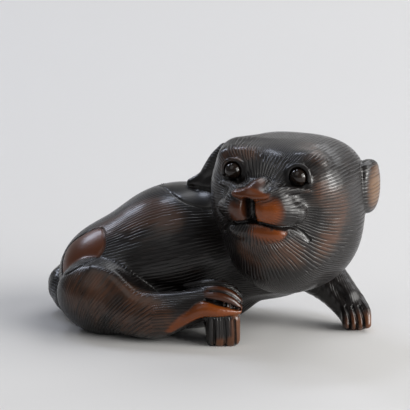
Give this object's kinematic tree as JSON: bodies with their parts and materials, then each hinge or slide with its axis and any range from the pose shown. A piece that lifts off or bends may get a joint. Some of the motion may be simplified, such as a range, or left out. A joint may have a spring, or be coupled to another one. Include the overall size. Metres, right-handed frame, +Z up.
{
  "type": "netsuke",
  "caption": "Carved wooden netsuke of a resting puppy looking back over its shoulder, with inlaid dark eyes and a cord channel under the belly.",
  "frame": {"origin": "middle of the bounding box on the surface that the netsuke stands on", "axes": "+X from the rump to the chest, +Z up, the face looks towards -Y and a little -X"},
  "size_m": [0.0418, 0.031, 0.0249],
  "materials": {
    "stained_wood": "dense carving wood, stained near black and polished, worn to orange on the raised places",
    "dark_horn": "polished dark horn beads"
  },
  "bodies": {
    "root": {"carved_puppy": "stained_wood", "right_eye_inlay": "dark_horn", "left_eye_inlay": "dark_horn"}
  },
  "joints": []
}
